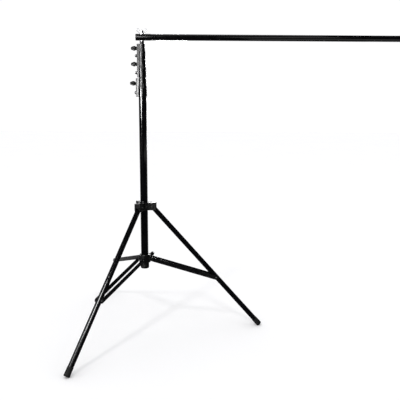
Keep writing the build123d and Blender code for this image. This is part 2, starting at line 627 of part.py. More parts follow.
def joint_collar():
    """The collar on the crossbar's far end that grips the inner tube."""
    seat = BAR_END + SNUG - JOINT_START
    with BuildPart() as collar:
        with BuildSketch(bar_plane(JOINT_START)):
            Circle(JOINT_RADIUS)
        extrude(amount=JOINT_LENGTH)
        fillet(collar.edges().filter_by(GeomType.CIRCLE), JOINT_EDGE)
        with BuildSketch(Plane(origin=(JOINT_SCREW_X, 0, BAR_Z), z_dir=(0, 0, -1))):
            Circle(JOINT_BOSS_RADIUS)
        extrude(amount=JOINT_BOSS)
        with BuildSketch(bar_plane(JOINT_START)):
            Circle(INNER_RADIUS + SLIDE_FIT)
        extrude(amount=JOINT_LENGTH, mode=Mode.SUBTRACT)
        with BuildSketch(bar_plane(JOINT_START)):
            Circle(BAR_RADIUS + SNUG)
        extrude(amount=seat, mode=Mode.SUBTRACT)
        with BuildSketch(Plane(origin=(JOINT_SCREW_X, 0, BAR_Z), z_dir=(0, 0, -1))):
            Circle(SCREW_RADIUS + GAP)
        extrude(amount=JOINT_BOSS, mode=Mode.SUBTRACT)
    save(collar.part, "joint_collar")


def build_joint_knob():
    """The joint collar's knob and screw, which press straight on the inner tube."""
    face = Plane(origin=(JOINT_SCREW_X, 0, BAR_Z - JOINT_BOSS), x_dir=(1, 0, 0), z_dir=(0, 0, -1))
    clamp_knob(face, "joint_knob")
    knob_screw(face, JOINT_BOSS - INNER_RADIUS - GAP, "joint_knob_screw")


def bar_washer():
    """The plain washer between the crossbar and the wing nut."""
    with BuildPart() as washer:
        with BuildSketch(Plane.XY.offset(WASHER_BOTTOM)):
            Circle(WASHER_RADIUS)
            Circle(STUD_HOLE_RADIUS, mode=Mode.SUBTRACT)
        extrude(amount=WASHER_THICK)
    save(washer.part, "bar_washer")


def wing_nut():
    """A tapered hub with two upswept wings."""
    swept = Plane(origin=UP * NUT_BOTTOM, x_dir=outward(WING_AZIMUTH),
                  z_dir=-sideways(WING_AZIMUTH))
    rise = WING_TOP - NUT_BOTTOM
    with BuildPart() as nut:
        with BuildSketch(Plane.XZ):
            with BuildLine():
                Polyline((0, NUT_BOTTOM), (NUT_LOW, NUT_BOTTOM),
                         (NUT_HIGH, NUT_BOTTOM + NUT_HEIGHT), (0, NUT_BOTTOM + NUT_HEIGHT),
                         close=True)
            make_face()
        revolve(axis=Axis.Z)
        for side in (1, -1):
            with BuildSketch(swept):
                root, tip, top = side * WING_ROOT, side * WING_REACH, side * WING_PEAK
                crotch = side * WING_CROTCH
                with BuildLine():
                    Line((0, WING_FOOT), (root, WING_FOOT))
                    Spline((root, WING_FOOT), (tip, WING_BELLY * rise), (top, rise),
                           (crotch, rise / 2))
                    Polyline((crotch, rise / 2), (0, rise / 2), (0, WING_FOOT))
                make_face()
            extrude(amount=WING_THICK / 2, both=True)
        with BuildSketch(Plane.XY.offset(NUT_BOTTOM)):
            Circle(STUD_RADIUS + GAP)
        extrude(amount=WING_TOP - NUT_BOTTOM, mode=Mode.SUBTRACT)
    save(nut.part, "wing_nut")


def build_crossbar():
    """The main tube with its end sleeve and cap, the inner tube and the clamp pieces."""
    cross_tube(BAR_START, BAR_END, BAR_RADIUS, BAR_WALL, 0, STUD_HOLE_RADIUS, "crossbar_tube")
    sleeve_wall = SLEEVE_RADIUS - BAR_RADIUS - SNUG
    cross_tube(SLEEVE_START, SLEEVE_END, SLEEVE_RADIUS, sleeve_wall, 0, STUD_HOLE_RADIUS,
               "crossbar_sleeve")
    cross_cap(SLEEVE_START, -1, SLEEVE_RADIUS, BAR_RADIUS - BAR_WALL - SNUG, "crossbar_cap")
    joint_collar()
    build_joint_knob()
    cross_tube(INNER_START, INNER_END, INNER_RADIUS, BAR_WALL, FAR_HOLE_X, FAR_HOLE_RADIUS,
               "inner_bar_tube")
    bush_plane = bar_plane(INNER_START)
    bush = guide_bush(bush_plane, INNER_RADIUS, BAR_RADIUS - BAR_WALL)
    save(bush, "inner_bar_bush")
    far_wall = SLEEVE_RADIUS - INNER_RADIUS - SNUG
    cross_tube(FAR_SLEEVE_START, INNER_END, SLEEVE_RADIUS, far_wall, FAR_HOLE_X,
               FAR_HOLE_RADIUS, "inner_bar_sleeve")
    cross_cap(INNER_END, 1, SLEEVE_RADIUS, INNER_RADIUS - BAR_WALL - SNUG, "inner_bar_cap")
    bar_washer()
    wing_nut()


os.makedirs("parts", exist_ok=True)
build_column()
end_cap()
top_stud()
build_collars()
build_tripod()
build_crossbar()

leg_to_brace = (brace_end(0) - leg_pivot(0)).length
brace_length = (brace_end(0) - brace_pivot(0)).length
folded_reach = LEG_PIVOT_RADIUS + leg_to_brace * sin(radians(FOLDED_SPREAD)) - BRACE_PIVOT_RADIUS
folded_drop = LEG_PIVOT_Z - leg_to_brace * cos(radians(FOLDED_SPREAD)) - BRACE_PIVOT_Z
slide = folded_drop + sqrt(brace_length ** 2 - folded_reach ** 2)
lean = degrees(asin(folded_reach / brace_length))
print("fold slide", round(slide, 3), "folded brace lean", round(lean, 4))
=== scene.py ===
import json
from math import cos, hypot, pi, radians, sin, tan, tau

import bmesh
import bpy
from mathutils import Matrix, Vector


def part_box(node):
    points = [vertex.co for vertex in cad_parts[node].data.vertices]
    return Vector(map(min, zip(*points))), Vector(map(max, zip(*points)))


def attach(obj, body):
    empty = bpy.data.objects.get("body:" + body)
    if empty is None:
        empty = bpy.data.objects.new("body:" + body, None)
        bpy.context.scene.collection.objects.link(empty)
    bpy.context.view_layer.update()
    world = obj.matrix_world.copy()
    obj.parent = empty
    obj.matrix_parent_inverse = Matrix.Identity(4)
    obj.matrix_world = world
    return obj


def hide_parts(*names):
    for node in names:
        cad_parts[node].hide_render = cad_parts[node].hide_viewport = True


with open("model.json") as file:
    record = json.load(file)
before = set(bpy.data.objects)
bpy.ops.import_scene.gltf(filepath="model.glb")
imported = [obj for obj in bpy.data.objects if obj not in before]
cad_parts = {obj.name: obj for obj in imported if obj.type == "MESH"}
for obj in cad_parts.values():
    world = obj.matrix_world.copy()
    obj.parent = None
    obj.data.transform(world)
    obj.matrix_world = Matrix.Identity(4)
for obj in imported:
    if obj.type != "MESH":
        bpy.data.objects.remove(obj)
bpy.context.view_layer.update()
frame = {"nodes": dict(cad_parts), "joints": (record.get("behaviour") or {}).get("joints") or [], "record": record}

# The looks of a black telescopic tripod stand with a crossbar. Every place is read from
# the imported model. Shapes are written in millimetres in a frame of their own, and that
# frame carries them to metres.

MM = 0.001
UP = Vector((0, 0, 1))
TINY = 1e-4            # a turned point nearer the axis than this is on it, in mm
AROUND = 96            # points round a turned piece
SHARP = radians(34)    # a sharper edge than this is shown sharp
FIT = 0.02             # clearance between pieces that are fixed together, in mm
SLIDE = 0.1            # clearance between pieces that slide in one another, in mm
THREAD_PITCH = 1.25    # of the stud and of the knobs' screws, in mm

JOINTS = {joint["name"]: joint for joint in frame["joints"]}
LETTERS = ("a", "b", "c")


# ---------------------------------------------------------------- places
def axes(origin, along, start=(0, 0, 1)):
    """A frame in millimetres whose z runs along, with x as near to start as it can be."""
    z = Vector(along).normalized()
    x = Vector(start) - z * z.dot(Vector(start))
    if x.length < 0.001:
        x = z.orthogonal()
    x.normalize()
    turned = Matrix((x, z.cross(x), z)).transposed().to_4x4()
    return Matrix.Translation(Vector(origin)) @ turned @ Matrix.Scale(MM, 4)


def column_place(start=(1, 0, 0)):
    """The frame on the column's axis, with its z up and its origin on the floor."""
    return axes((0, 0, 0), UP, start)


def middle(node):
    low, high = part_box(node)
    return (low + high) / 2


def span(node, place):
    """A node's lowest and highest z in a frame, and its reach from the frame's axis, in mm."""
    into = place.inverted()
    points = [into @ vertex.co for vertex in frame["nodes"][node].data.vertices]
    heights = [point.z for point in points]
    return min(heights), max(heights), max(hypot(point.x, point.y) for point in points)


def joint_place(name):
    """The frame at a joint, with its z along the joint's axis."""
    joint = JOINTS[name]
    return axes(joint["pos_m"], joint["axis"])


def leg_place(letter):
    """The frame at a leg's pivot, with its z down the leg and its y along the hinge pin."""
    joint = JOINTS[f"leg_{letter}_fold"]
    pivot = Vector(joint["pos_m"])
    return axes(pivot, middle(f"leg_tube_{letter}") - pivot, Vector(joint["axis"]).cross(UP))


# ---------------------------------------------------------------- outlines
def rounded(corners, steps=4):
    """A closed outline of (x, y, rounding) corners, with an arc at each corner that has one."""
    points = []
    for index, (x, y, size) in enumerate(corners):
        here = Vector((x, y))
        if not size:
            points.append(here)
            continue
        back = (Vector(corners[index - 1][:2]) - here).normalized()
        ahead = (Vector(corners[(index + 1) % len(corners)][:2]) - here).normalized()
        half = back.angle(ahead) / 2
        centre = here + (back + ahead).normalized() * (size / sin(half))
        first = here + back * (size / tan(half)) - centre
        last = here + ahead * (size / tan(half)) - centre
        sweep = pi - 2 * half
        for step in range(steps + 1):
            part = step / steps
            spoke = first * sin((1 - part) * sweep) + last * sin(part * sweep)
            points.append(centre + spoke / sin(sweep))
    return points


def ringed(radius, low, high, rings, depth=0.8, half=1.1):
    """Outline points up a straight side, with a round-bottomed groove at each ring height."""
    slope = depth * 0.8
    points = [(radius, low)]
    for height in rings:
        points += [(radius, height - half), (radius - slope, height - half / 2),
                   (radius - depth, height), (radius - slope, height + half / 2),
                   (radius, height + half)]
    return points + [(radius, high)]


def threaded(radius, depth, low, high):
    """Outline points of a thread's crests and roots, and the height of its next crest."""
    points = []
    height = low
    while height + THREAD_PITCH < high:
        points += [(radius, height), (radius - depth, height + THREAD_PITCH / 2)]
        height += THREAD_PITCH
    return points, height


def hexagon(flats):
    """A radius limit that cuts a turned piece to a hexagon across its flats."""
    def limit(angle, radius, height):
        return min(radius, flats / 2 / cos((angle + pi / 6) % (pi / 3) - pi / 6))
    return limit


# ---------------------------------------------------------------- meshes
def bridge(mesh, lower, upper):
    """Faces between two rings, either of which may be a single point."""
    count = max(len(lower), len(upper))
    if count == 1:
        return
    for index in range(count):
        after = (index + 1) % count
        corners = [lower[index % len(lower)], lower[after % len(lower)],
                   upper[after % len(upper)], upper[index % len(upper)]]
        unique = [corner for place, corner in enumerate(corners) if corner not in corners[:place]]
        mesh.faces.new(unique)


def turn(mesh, place, outline, limit=None, around=AROUND):
    """Turns a closed outline of (radius, height) points about a frame's z axis."""
    rings = []
    for radius, height in outline:
        if radius < TINY:
            rings.append([mesh.verts.new(place @ Vector((0, 0, height)))])
            continue
        ring = []
        for step in range(around):
            angle = tau * step / around
            reach = limit(angle, radius, height) if limit else radius
            point = Vector((reach * cos(angle), reach * sin(angle), height))
            ring.append(mesh.verts.new(place @ point))
        rings.append(ring)
    for lower, upper in zip(rings, rings[1:] + rings[:1]):
        bridge(mesh, lower, upper)


def prism(mesh, place, outline, low, high, edge, steps=2):
    """Extrudes an anticlockwise outline of (x, y) points from low to high, with rounded rims."""
    turns = [pi / 2 * step / steps for step in range(steps + 1)]
    bottom = [(edge * (1 - sin(angle)), low + edge * (1 - cos(angle))) for angle in turns]
    top = [(edge * (1 - sin(angle)), high - edge * (1 - cos(angle))) for angle in reversed(turns)]
    rings = []
    for inset, height in bottom + top:
        ring = []
        for index, point in enumerate(outline):
            along = Vector(outline[(index + 1) % len(outline)]) - Vector(outline[index - 1])
            inward = Vector((-along.y, along.x)).normalized() * inset
            spot = Vector((point[0] + inward.x, point[1] + inward.y, height))
            ring.append(mesh.verts.new(place @ spot))
        rings.append(ring)
    for lower, upper in zip(rings, rings[1:]):
        bridge(mesh, lower, upper)
    mesh.faces.new(list(reversed(rings[0])))
    mesh.faces.new(rings[-1])


def weigh_normals(made):
    """Shades a mesh by its large faces, so that a narrow rounding does not bend a long wall."""
    weighted = made.modifiers.new("weighted", "WEIGHTED_NORMAL")
    weighted.keep_sharp = True
    evaluated = made.evaluated_get(bpy.context.evaluated_depsgraph_get())
    made.data = bpy.data.meshes.new_from_object(evaluated)
    made.modifiers.clear()


def piece(name, mesh, body, slot, *nodes):
    """Makes a finished mesh an object that rides on a body and stands for CAD nodes."""
    bmesh.ops.recalc_face_normals(mesh, faces=mesh.faces)
    data = bpy.data.meshes.new(name)
    mesh.to_mesh(data)
    mesh.free()
    for polygon in data.polygons:
        polygon.use_smooth = True
    data.set_sharp_from_angle(angle=SHARP)
    data.materials.append(MATERIALS[slot])
    made = bpy.data.objects.new(name, data)
    bpy.context.scene.collection.objects.link(made)
    weigh_normals(made)
    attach(made, body)
    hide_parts(*nodes)


# ---------------------------------------------------------------- materials
class Nodes:
    """Short names for the nodes of one material."""

    def __init__(self, name):
        self.material = bpy.data.materials.new(name)
        self.material.use_nodes = True
        self.tree = self.material.node_tree
        self.shader = self.tree.nodes["Principled BSDF"]
        self.place = self.tree.nodes.new("ShaderNodeTexCoord").outputs["Object"]

    def link(self, source, target):
        self.tree.links.new(source, target)

    def noise(self, scale, detail=3.0):
        """Noise at so many waves a metre."""
        texture = self.tree.nodes.new("ShaderNodeTexNoise")
        texture.inputs["Scale"].default_value = scale
        texture.inputs["Detail"].default_value = detail
        self.link(self.place, texture.inputs["Vector"])
        return texture.outputs["Fac"]

    def remap(self, source, low, high, to_low, to_high):
        """Maps low..high of a value to to_low..to_high, and no further."""
        node = self.tree.nodes.new("ShaderNodeMapRange")
        for socket, value in zip(("From Min", "From Max", "To Min", "To Max"),
                                 (low, high, to_low, to_high)):
            node.inputs[socket].default_value = value
        self.link(source, node.inputs["Value"])
        return node.outputs["Result"]

    def blend(self, amount, first, second):
        """A colour between two colours, either of which may be another node's output."""
        node = self.tree.nodes.new("ShaderNodeMix")
        node.data_type = "RGBA"
        self.link(amount, node.inputs["Factor"])
        for socket, value in ((node.inputs["A"], first), (node.inputs["B"], second)):
            if isinstance(value, tuple):
                socket.default_value = (*value, 1)
            else:
                self.link(value, socket)
        return node.outputs["Result"]

    def multiply(self, first, second):
        node = self.tree.nodes.new("ShaderNodeMath")
        node.operation = "MULTIPLY"
        self.link(first, node.inputs[0])
        self.link(second, node.inputs[1])
        return node.outputs["Value"]

    def upward(self):
        """How far a surface faces up, for dust."""
        split = self.tree.nodes.new("ShaderNodeSeparateXYZ")
        geometry = self.tree.nodes.new("ShaderNodeNewGeometry")
        self.link(geometry.outputs["Normal"], split.inputs["Vector"])
        return self.remap(split.outputs["Z"], 0.55, 1.0, 0.0, 1.0)

    def edges(self):
        """How near a surface is to an outer edge, for wear."""
        geometry = self.tree.nodes.new("ShaderNodeNewGeometry")
        return self.remap(geometry.outputs["Pointiness"], 0.53, 0.62, 0.0, 1.0)

    def bump(self, height, distance, strength=0.2):
        node = self.tree.nodes.new("ShaderNodeBump")
        node.inputs["Distance"].default_value = distance
        node.inputs["Strength"].default_value = strength
        self.link(height, node.inputs["Height"])
        self.link(node.outputs["Normal"], self.shader.inputs["Normal"])

    def set(self, **values):
        """Sets the shader's own sockets, such as metallic=1."""
        for name, value in values.items():
            socket = name.replace("_", " ").title().replace("Ior", "IOR")
            self.shader.inputs[socket].default_value = value


DUST = (0.30, 0.29, 0.28)
WORN = (0.16, 0.16, 0.17)


def coated(name, dark, light, rough, grain, depth, dust=0.0, wear=0.0, coat=0.0, specular=0.5):
    """A coated or moulded surface: mottled colour, uneven gloss, a fine grain, dust and wear."""
    nodes = Nodes(name)
    nodes.set(coat_weight=coat, coat_roughness=0.06, specular_ior_level=specular)
    colour = nodes.blend(nodes.remap(nodes.noise(35.0), 0.35, 0.65, 0.0, 1.0), dark, light)
    patchy = nodes.noise(14.0, detail=5.0)
    if dust:
        amount = nodes.multiply(nodes.upward(), nodes.remap(patchy, 0.3, 0.75, 0.2 * dust, dust))
        colour = nodes.blend(amount, colour, DUST)
    if wear:
        amount = nodes.multiply(nodes.edges(), nodes.remap(patchy, 0.45, 0.7, 0.0, wear))
        colour = nodes.blend(amount, colour, WORN)
    nodes.link(colour, nodes.shader.inputs["Base Color"])
    gloss = nodes.remap(nodes.noise(60.0, detail=6.0), 0.3, 0.7, rough[0], rough[1])
    nodes.link(gloss, nodes.shader.inputs["Roughness"])
    nodes.bump(nodes.noise(grain, detail=2.0), depth)
    return nodes.material


def plated(name, dark, light, rough, grain, depth):
    """Bare or plated metal, with fine marks and slightly uneven gloss."""
    nodes = Nodes(name)
    nodes.set(metallic=1.0)
    colour = nodes.blend(nodes.remap(nodes.noise(90.0), 0.3, 0.7, 0.0, 1.0), dark, light)
    nodes.link(colour, nodes.shader.inputs["Base Color"])
    gloss = nodes.remap(nodes.noise(240.0, detail=6.0), 0.3, 0.7, rough[0], rough[1])
    nodes.link(gloss, nodes.shader.inputs["Roughness"])
    nodes.bump(nodes.noise(grain, detail=2.0), depth)
    return nodes.material


MATERIALS = {
    "black_tube": coated("black_tube", (0.0016, 0.0016, 0.0020), (0.0030, 0.0030, 0.0036),
                         rough=(0.09, 0.14), grain=1400.0, depth=0.000006,
                         dust=0.008, specular=0.45),
    "black_casting": coated("black_casting", (0.0022, 0.0022, 0.0024), (0.0042, 0.0042, 0.0044),
                            rough=(0.30, 0.42), grain=1100.0, depth=0.00004,
                            dust=0.02, wear=0.10),
    "brace_steel": coated("brace_steel", (0.0022, 0.0022, 0.0028), (0.0040, 0.0040, 0.0048),
                          rough=(0.22, 0.32), grain=900.0, depth=0.00003,
                          dust=0.015, wear=0.12),
    "collar_plastic": coated("collar_plastic", (0.0015, 0.0015, 0.0018), (0.0028, 0.0028, 0.0032),
                             rough=(0.12, 0.20), grain=700.0, depth=0.000008,
                             dust=0.012, coat=0.35),
    "knob_plastic": coated("knob_plastic", (0.0028, 0.0028, 0.0030), (0.0048, 0.0048, 0.0050),
                           rough=(0.26, 0.38), grain=1600.0, depth=0.00003,
                           dust=0.02, wear=0.06, specular=0.32),
    "cap_plastic": coated("cap_plastic", (0.0030, 0.0030, 0.0032), (0.0055, 0.0055, 0.0058),
                          rough=(0.36, 0.50), grain=1300.0, depth=0.00005, dust=0.03),
    "foot_rubber": coated("foot_rubber", (0.006, 0.006, 0.006), (0.012, 0.012, 0.012),
                          rough=(0.58, 0.80), grain=800.0, depth=0.00012,
                          dust=0.06, specular=0.15),
    "slide_nylon": coated("slide_nylon", (0.05, 0.05, 0.05), (0.08, 0.08, 0.08),
                          rough=(0.45, 0.6), grain=900.0, depth=0.00003),
    "fastener_steel": plated("fastener_steel", (0.42, 0.42, 0.43), (0.58, 0.58, 0.58),
                             rough=(0.22, 0.36), grain=1500.0, depth=0.00002),
    "black_fastener": coated("black_fastener", (0.0030, 0.0030, 0.0034), (0.0060, 0.0060, 0.0066),
                             rough=(0.36, 0.48), grain=1500.0, depth=0.00002, wear=0.15),
    "bright_chrome": plated("bright_chrome", (0.80, 0.80, 0.82), (0.90, 0.90, 0.91),
                            rough=(0.12, 0.22), grain=900.0, depth=0.00001),
}
SLOT_OF = {part["node"]: part["material_slot"] for part in frame["record"]["subparts"]}


def dress_cad_nodes():
    """Gives every CAD node the material of its slot."""
    for name, made in frame["nodes"].items():
        made.data.materials.clear()
        made.data.materials.append(MATERIALS[SLOT_OF[name]])


# ---------------------------------------------------------------- tubes and caps
def round_tube(node, body, place, wall, rim=0.5):
    """A tube with eased rims, as long and as wide as its CAD node."""
    low, high, radius = span(node, place)
    outline = rounded([(radius, low, rim), (radius, high, rim),
                       (radius - wall, high, rim / 2), (radius - wall, low, rim / 2)], steps=3)
    mesh = bmesh.new()
    turn(mesh, place, outline)
    piece(f"{node}_piece", mesh, body, SLOT_OF[node], node)


def end_cap():
    """The grooved cap on the base tube's lower end."""
    place = column_place()
    low, high, radius = span("base_end_cap", place)
    tube_low, _, tube_radius = span("base_tube", place)
    bottom, seat, corner = low + 8, tube_radius + FIT, 5.0
    grooves = [low + 12, low + 16, low + 20]
    floor = rounded([(0, low, 0), (radius, low, corner), (radius, bottom, 0), (0, bottom, 0)])[:-2]
    side = ringed(radius, bottom, high - 4, grooves)[1:]
    lip = [(radius, high - 1.0), (radius - 0.3, high - 0.3), (radius - 1.0, high)]
    inside = [(seat, high), (seat, tube_low), (0, tube_low)]
    mesh = bmesh.new()
    turn(mesh, place, [*floor, *side, *lip, *inside])
    piece("base_end_cap_piece", mesh, "base", "cap_plastic", "base_end_cap")


def foot(letter):
    """A grooved rubber cup, cut flat on the floor."""
    node = f"leg_foot_{letter}"
    place = leg_place(letter)
    _, tube_end, tube_radius = span(f"leg_tube_{letter}", place)
    low = span(node, place)[0]
    wall, sole, toe = 1.2, 9.0, 3.0
    radius, seat, end = tube_radius + wall, tube_radius + FIT, tube_end + sole
    grooves = [end - 28, end - 24, end - 20]
    side = ringed(radius, low + 1.0, end - 6, grooves)
    nose = rounded([(radius, end - 6, 0), (radius, end, toe), (0, end, 0)])[1:]
    inside = [(0, tube_end), (seat, tube_end), (seat, low), (radius - 0.8, low),
              (radius - 0.2, low + 0.3)]
    mesh = bmesh.new()
    turn(mesh, place, [*side, *nose, *inside])
    everything = [*mesh.verts, *mesh.edges, *mesh.faces]
    cut = bmesh.ops.bisect_plane(mesh, geom=everything, plane_co=(0, 0, 0),
                                 plane_no=(0, 0, -1), clear_outer=True)
    rim = [part for part in cut["geom_cut"] if isinstance(part, bmesh.types.BMEdge)]
    bmesh.ops.contextual_create(mesh, geom=rim)
    piece(f"{node}_piece", mesh, f"leg_{letter}", "foot_rubber", node)


def top_stud():
    """The shoulder under the crossbar and the threaded stud through it."""
    place = column_place()
    low, high, radius = span("top_stud", place)
    tube_top = span("top_tube", place)[1]
    thread_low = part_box("bar_washer")[1].z / MM
    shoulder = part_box("crossbar_sleeve")[0].z / MM - 0.35
    plug, stud, depth, point = radius - 1.32, 4.0, 0.45, 1.0
    thread, thread_high = threaded(stud, depth, thread_low, high - point)
    outline = [(0, low), (plug, low), (plug, tube_top), (radius, tube_top),
               (radius, shoulder - 1.0), (radius - 0.3, shoulder - 0.3),
               (radius - 1.0, shoulder), (stud, shoulder), *thread, (stud, thread_high),
               (stud - point, high), (0, high)]
    mesh = bmesh.new()
    turn(mesh, place, outline, around=64)
    piece("top_stud_piece", mesh, "top_section", "bright_chrome", "top_stud")


def column():
    place = column_place()
    for section, body in (("base", "base"), ("second", "second_section"),
                          ("third", "third_section"), ("top", "top_section")):
        round_tube(f"{section}_tube", body, place, wall=1.3)
    end_cap()
    top_stud()


# ---------------------------------------------------------------- knobs
def knob(node):
    """A lobed knob with a flange at its root and a blunt nose, on the body of its own name."""
    place = joint_place(f"{node}_turn")
    low, high, _ = span(node, place)
    flange, neck, shoulder, belly, nose = 7.6, 6.7, 8.4, 10.6, 5.6
    lobes, valley, lobes_low = 5, 2.6, low + 4.0
    outline = rounded([(0, low, 0), (flange, low, 0.5), (flange, low + 3.0, 0.8),
                       (neck, low + 3.6, 0.3), (shoulder, low + 4.6, 0.8),
                       (belly, low + 8.2, 6.0), (belly, low + 14.5, 15.0),
                       (nose, high, 3.0), (0, high, 0)], steps=6)

    def lobed(angle, radius, height):
        if height < lobes_low:
            return radius
        dip = (0.5 - 0.5 * cos(lobes * angle)) ** 1.6
        return radius - valley * dip * min(1.0, radius / belly)

    mesh = bmesh.new()
    turn(mesh, place, outline, limit=lobed, around=120)
    piece(f"{node}_piece", mesh, node, "knob_plastic", node)


def screw(body):
    """A knob's screw, threaded for its whole length."""
    node = f"{body}_screw"
    place = joint_place(f"{body}_turn")
    low, high, radius = span(node, place)
    depth, point = 0.4, 0.8
    thread, _ = threaded(radius, depth, low + point, high - point)
    outline = [(0, low), (radius - point, low), *thread, (radius - point, high), (0, high)]
    mesh = bmesh.new()
    turn(mesh, place, outline, around=48)
    piece(f"{node}_piece", mesh, body, "fastener_steel", node)


# ---------------------------------------------------------------- locking collars
def boss_reach(off, reach, half, corner):
    """How far a rounded boss reaches at an angle off its middle, from the column's axis."""
    if off >= pi / 2:
        return 0.0
    if reach * tan(off) <= half - corner:
        return reach / cos(off)
    if off > 0 and half / tan(off) <= reach - corner:
        return half / sin(off)
    x, y = reach - corner, half - corner
    across = x * cos(off) + y * sin(off)
    return across + max(0.0, across * across - x * x - y * y + corner * corner) ** 0.5


def swell(first, second, blend=0.9):
    """The larger of two radii, with a fillet where they meet."""
    near = max(blend - abs(first - second), 0.0) / blend
    return max(first, second) + near * near * blend / 4


def locking_collar(name, body, inner, wall):
    """A clamped collar: a ring that narrows upward to a wall, and a boss for knob and bolt."""
    node = f"{name}_collar"
    place = column_place((-1, 0, 0))
    low, high, _ = span(node, place)
    _, tube_top, tube_radius = span(f"{name}_tube", place)
    seat, seat_top = tube_radius + FIT, tube_top + FIT
    guide = span(inner, place)[2] + SLIDE
    wide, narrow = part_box(node)[1].x / MM, guide - SLIDE + wall
    boss, boss_half, boss_corner = -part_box(node)[0].x / MM, 9.5, 3.4
    waist, shoulder = low + 0.42 * (high - low), low + 0.74 * (high - low)
    rim, rim_steps, slope_steps = 1.4, 6, 14

    def ring(height):
        part = min(1.0, max(0.0, (height - waist) / (shoulder - waist)))
        return wide + (narrow - wide) * part * part * (3 - 2 * part)

    def inset(height):
        """How far the outside stands back at a height, for its rounded rims."""
        from_rim = min(rim, height - low, high - height)
        return rim - (rim * rim - (rim - from_rim) ** 2) ** 0.5

    def outside(angle, radius, height):
        """Leaves the bore as it is, and adds the boss and the rims to the ring."""
        if radius < guide + 0.5 or (radius <= seat and height <= seat_top):
            return radius
        off = abs((angle + pi) % tau - pi)
        back = inset(height)
        reach = boss_reach(off, boss - back, boss_half - back, boss_corner - min(back, rim))
        return swell(radius - back, reach)

    rims = [rim * (1 - cos(pi / 2 * step / rim_steps)) for step in range(rim_steps + 1)]
    slope = [waist + (shoulder - waist) * step / slope_steps for step in range(slope_steps + 1)]
    heights = sorted([low + rise for rise in rims] + [high - rise for rise in rims] + slope)
    outline = [(ring(height), height) for height in heights]
    outline += [(guide, high), (guide, seat_top), (seat, seat_top), (seat, low)]
    mesh = bmesh.new()
    turn(mesh, place, outline, limit=outside, around=240)
    piece(f"{node}_piece", mesh, body, "collar_plastic", node)


def add_hexagon(mesh, place, flats, low, high):
    """A hexagon whose outer rim is turned to a chamfer."""
    corner, crown, chamfer = flats / 2 / cos(pi / 6), flats / 2 * 0.92, 0.7
    outline = [(0, low), (corner, low), (corner, high - chamfer), (crown, high), (0, high)]
    turn(mesh, place, outline, limit=hexagon(flats), around=72)


def collar_bolt(name, body):
    """The collar's clamp bolt: a washer, a chamfered hexagon head and a round end."""
    node = f"{name}_collar_bolt"
    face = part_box(f"{name}_collar")[0].x
    place = axes((face, 0, middle(node).z), (-1, 0, 0))
    low, high, _ = span(node, place)
    flats, washer_top, head_top = 13.0, 1.2, 5.4
    shank, washer_radius, end = 3.5, flats / 2 + 1.2, 5.3
    outline = [(0, low, 0), (shank, low, 0.5), (shank, 0, 0), (washer_radius, 0, 0.2),
               (washer_radius, washer_top, 0.4), (end, washer_top, 0), (end, high, 0.9),
               (0, high, 0)]
    mesh = bmesh.new()
    turn(mesh, place, rounded(outline, steps=3), around=72)
    add_hexagon(mesh, place, flats, washer_top, head_top)
    piece(f"{node}_piece", mesh, body, "fastener_steel", node)


def collars():
    """Each collar, on the top of its tube, round the next tube in."""
    for name, body, inner, wall in (("base", "base", "second_tube", 2.2),
                                    ("second", "second_section", "third_tube", 2.3),
                                    ("third", "third_section", "top_tube", 3.3)):
        locking_collar(name, body, inner, wall)
        collar_bolt(name, body)
        knob(f"{name}_knob")
        screw(f"{name}_knob")


# ---------------------------------------------------------------- tripod
def pivot_bolts(node, body, joints, radius, flats, head, half):
    """A bolt and a lock nut through each pivot, with half the grip on either side of it."""
    end, top, collar = half + head + 1.5, half + head, flats * 0.44
    shank = [(0, -half - head + 0.5, 0), (radius, -half - head + 0.5, 0), (radius, end, 0.8),
             (0, end, 0)]
    lock = [(radius, half, 0), (collar, half, 0), (collar, top, 1.0), (radius, top, 0)]
    mesh = bmesh.new()
    for joint in joints:
        place = joint_place(joint)
        flipped = place @ Matrix.Rotation(pi, 4, "X")
        turn(mesh, place, rounded(shank, steps=2), around=48)
        add_hexagon(mesh, flipped, flats, half, top)
        add_hexagon(mesh, place, flats, half, half + head * 0.72)
        turn(mesh, place, rounded(lock, steps=3), around=48)
    piece(f"{node}_piece", mesh, body, "black_fastener", node)


def brace_bars(letter, place, length, inside, outside, half=10.0, steps=20):
    """Two flat bars with round ends, on either side of the leg."""
    arc = [(half * sin(pi * step / steps), half * cos(pi * step / steps))
           for step in range(steps + 1)]
    outline = [(length + x, -y) for x, y in arc] + [(-x, y) for x, y in arc]
    mesh = bmesh.new()
    prism(mesh, place, outline, inside, outside, 0.5)
    prism(mesh, place, outline, -outside, -inside, 0.5)
    piece(f"brace_bars_{letter}_piece", mesh, f"brace_{letter}", "brace_steel",
          f"brace_bars_{letter}")


def brace_rivets(letter, end, axis, inside, outside):
    """The shouldered stub rivets at the bars' outer ends."""
    low, shoulder, shank, head = 12.4, 6.0, 4.0, 6.6
    stub = [(0, low, 0), (shoulder, low, 0.5), (shoulder, inside, 0), (shank, inside, 0),
            (shank, outside, 0), (head, outside, 0), (6.4, outside + 3.7, 3.0),
            (0, outside + 3.8, 0)]
    mesh = bmesh.new()
    for side in (1, -1):
        turn(mesh, axes(end, axis * side), rounded(stub, steps=6), around=64)
    piece(f"brace_rivets_{letter}_piece", mesh, f"brace_{letter}", "black_fastener",
          f"brace_rivets_{letter}")


def brace(letter):
    joint = JOINTS[f"brace_{letter}_fold"]
    pivot, axis = Vector(joint["pos_m"]), Vector(joint["axis"])
    end = middle(f"brace_rivets_{letter}")
    inside, outside = 14.0, 17.0
    brace_bars(letter, axes(pivot, axis, end - pivot), (end - pivot).length / MM, inside, outside)
    brace_rivets(letter, end, axis, inside, outside)


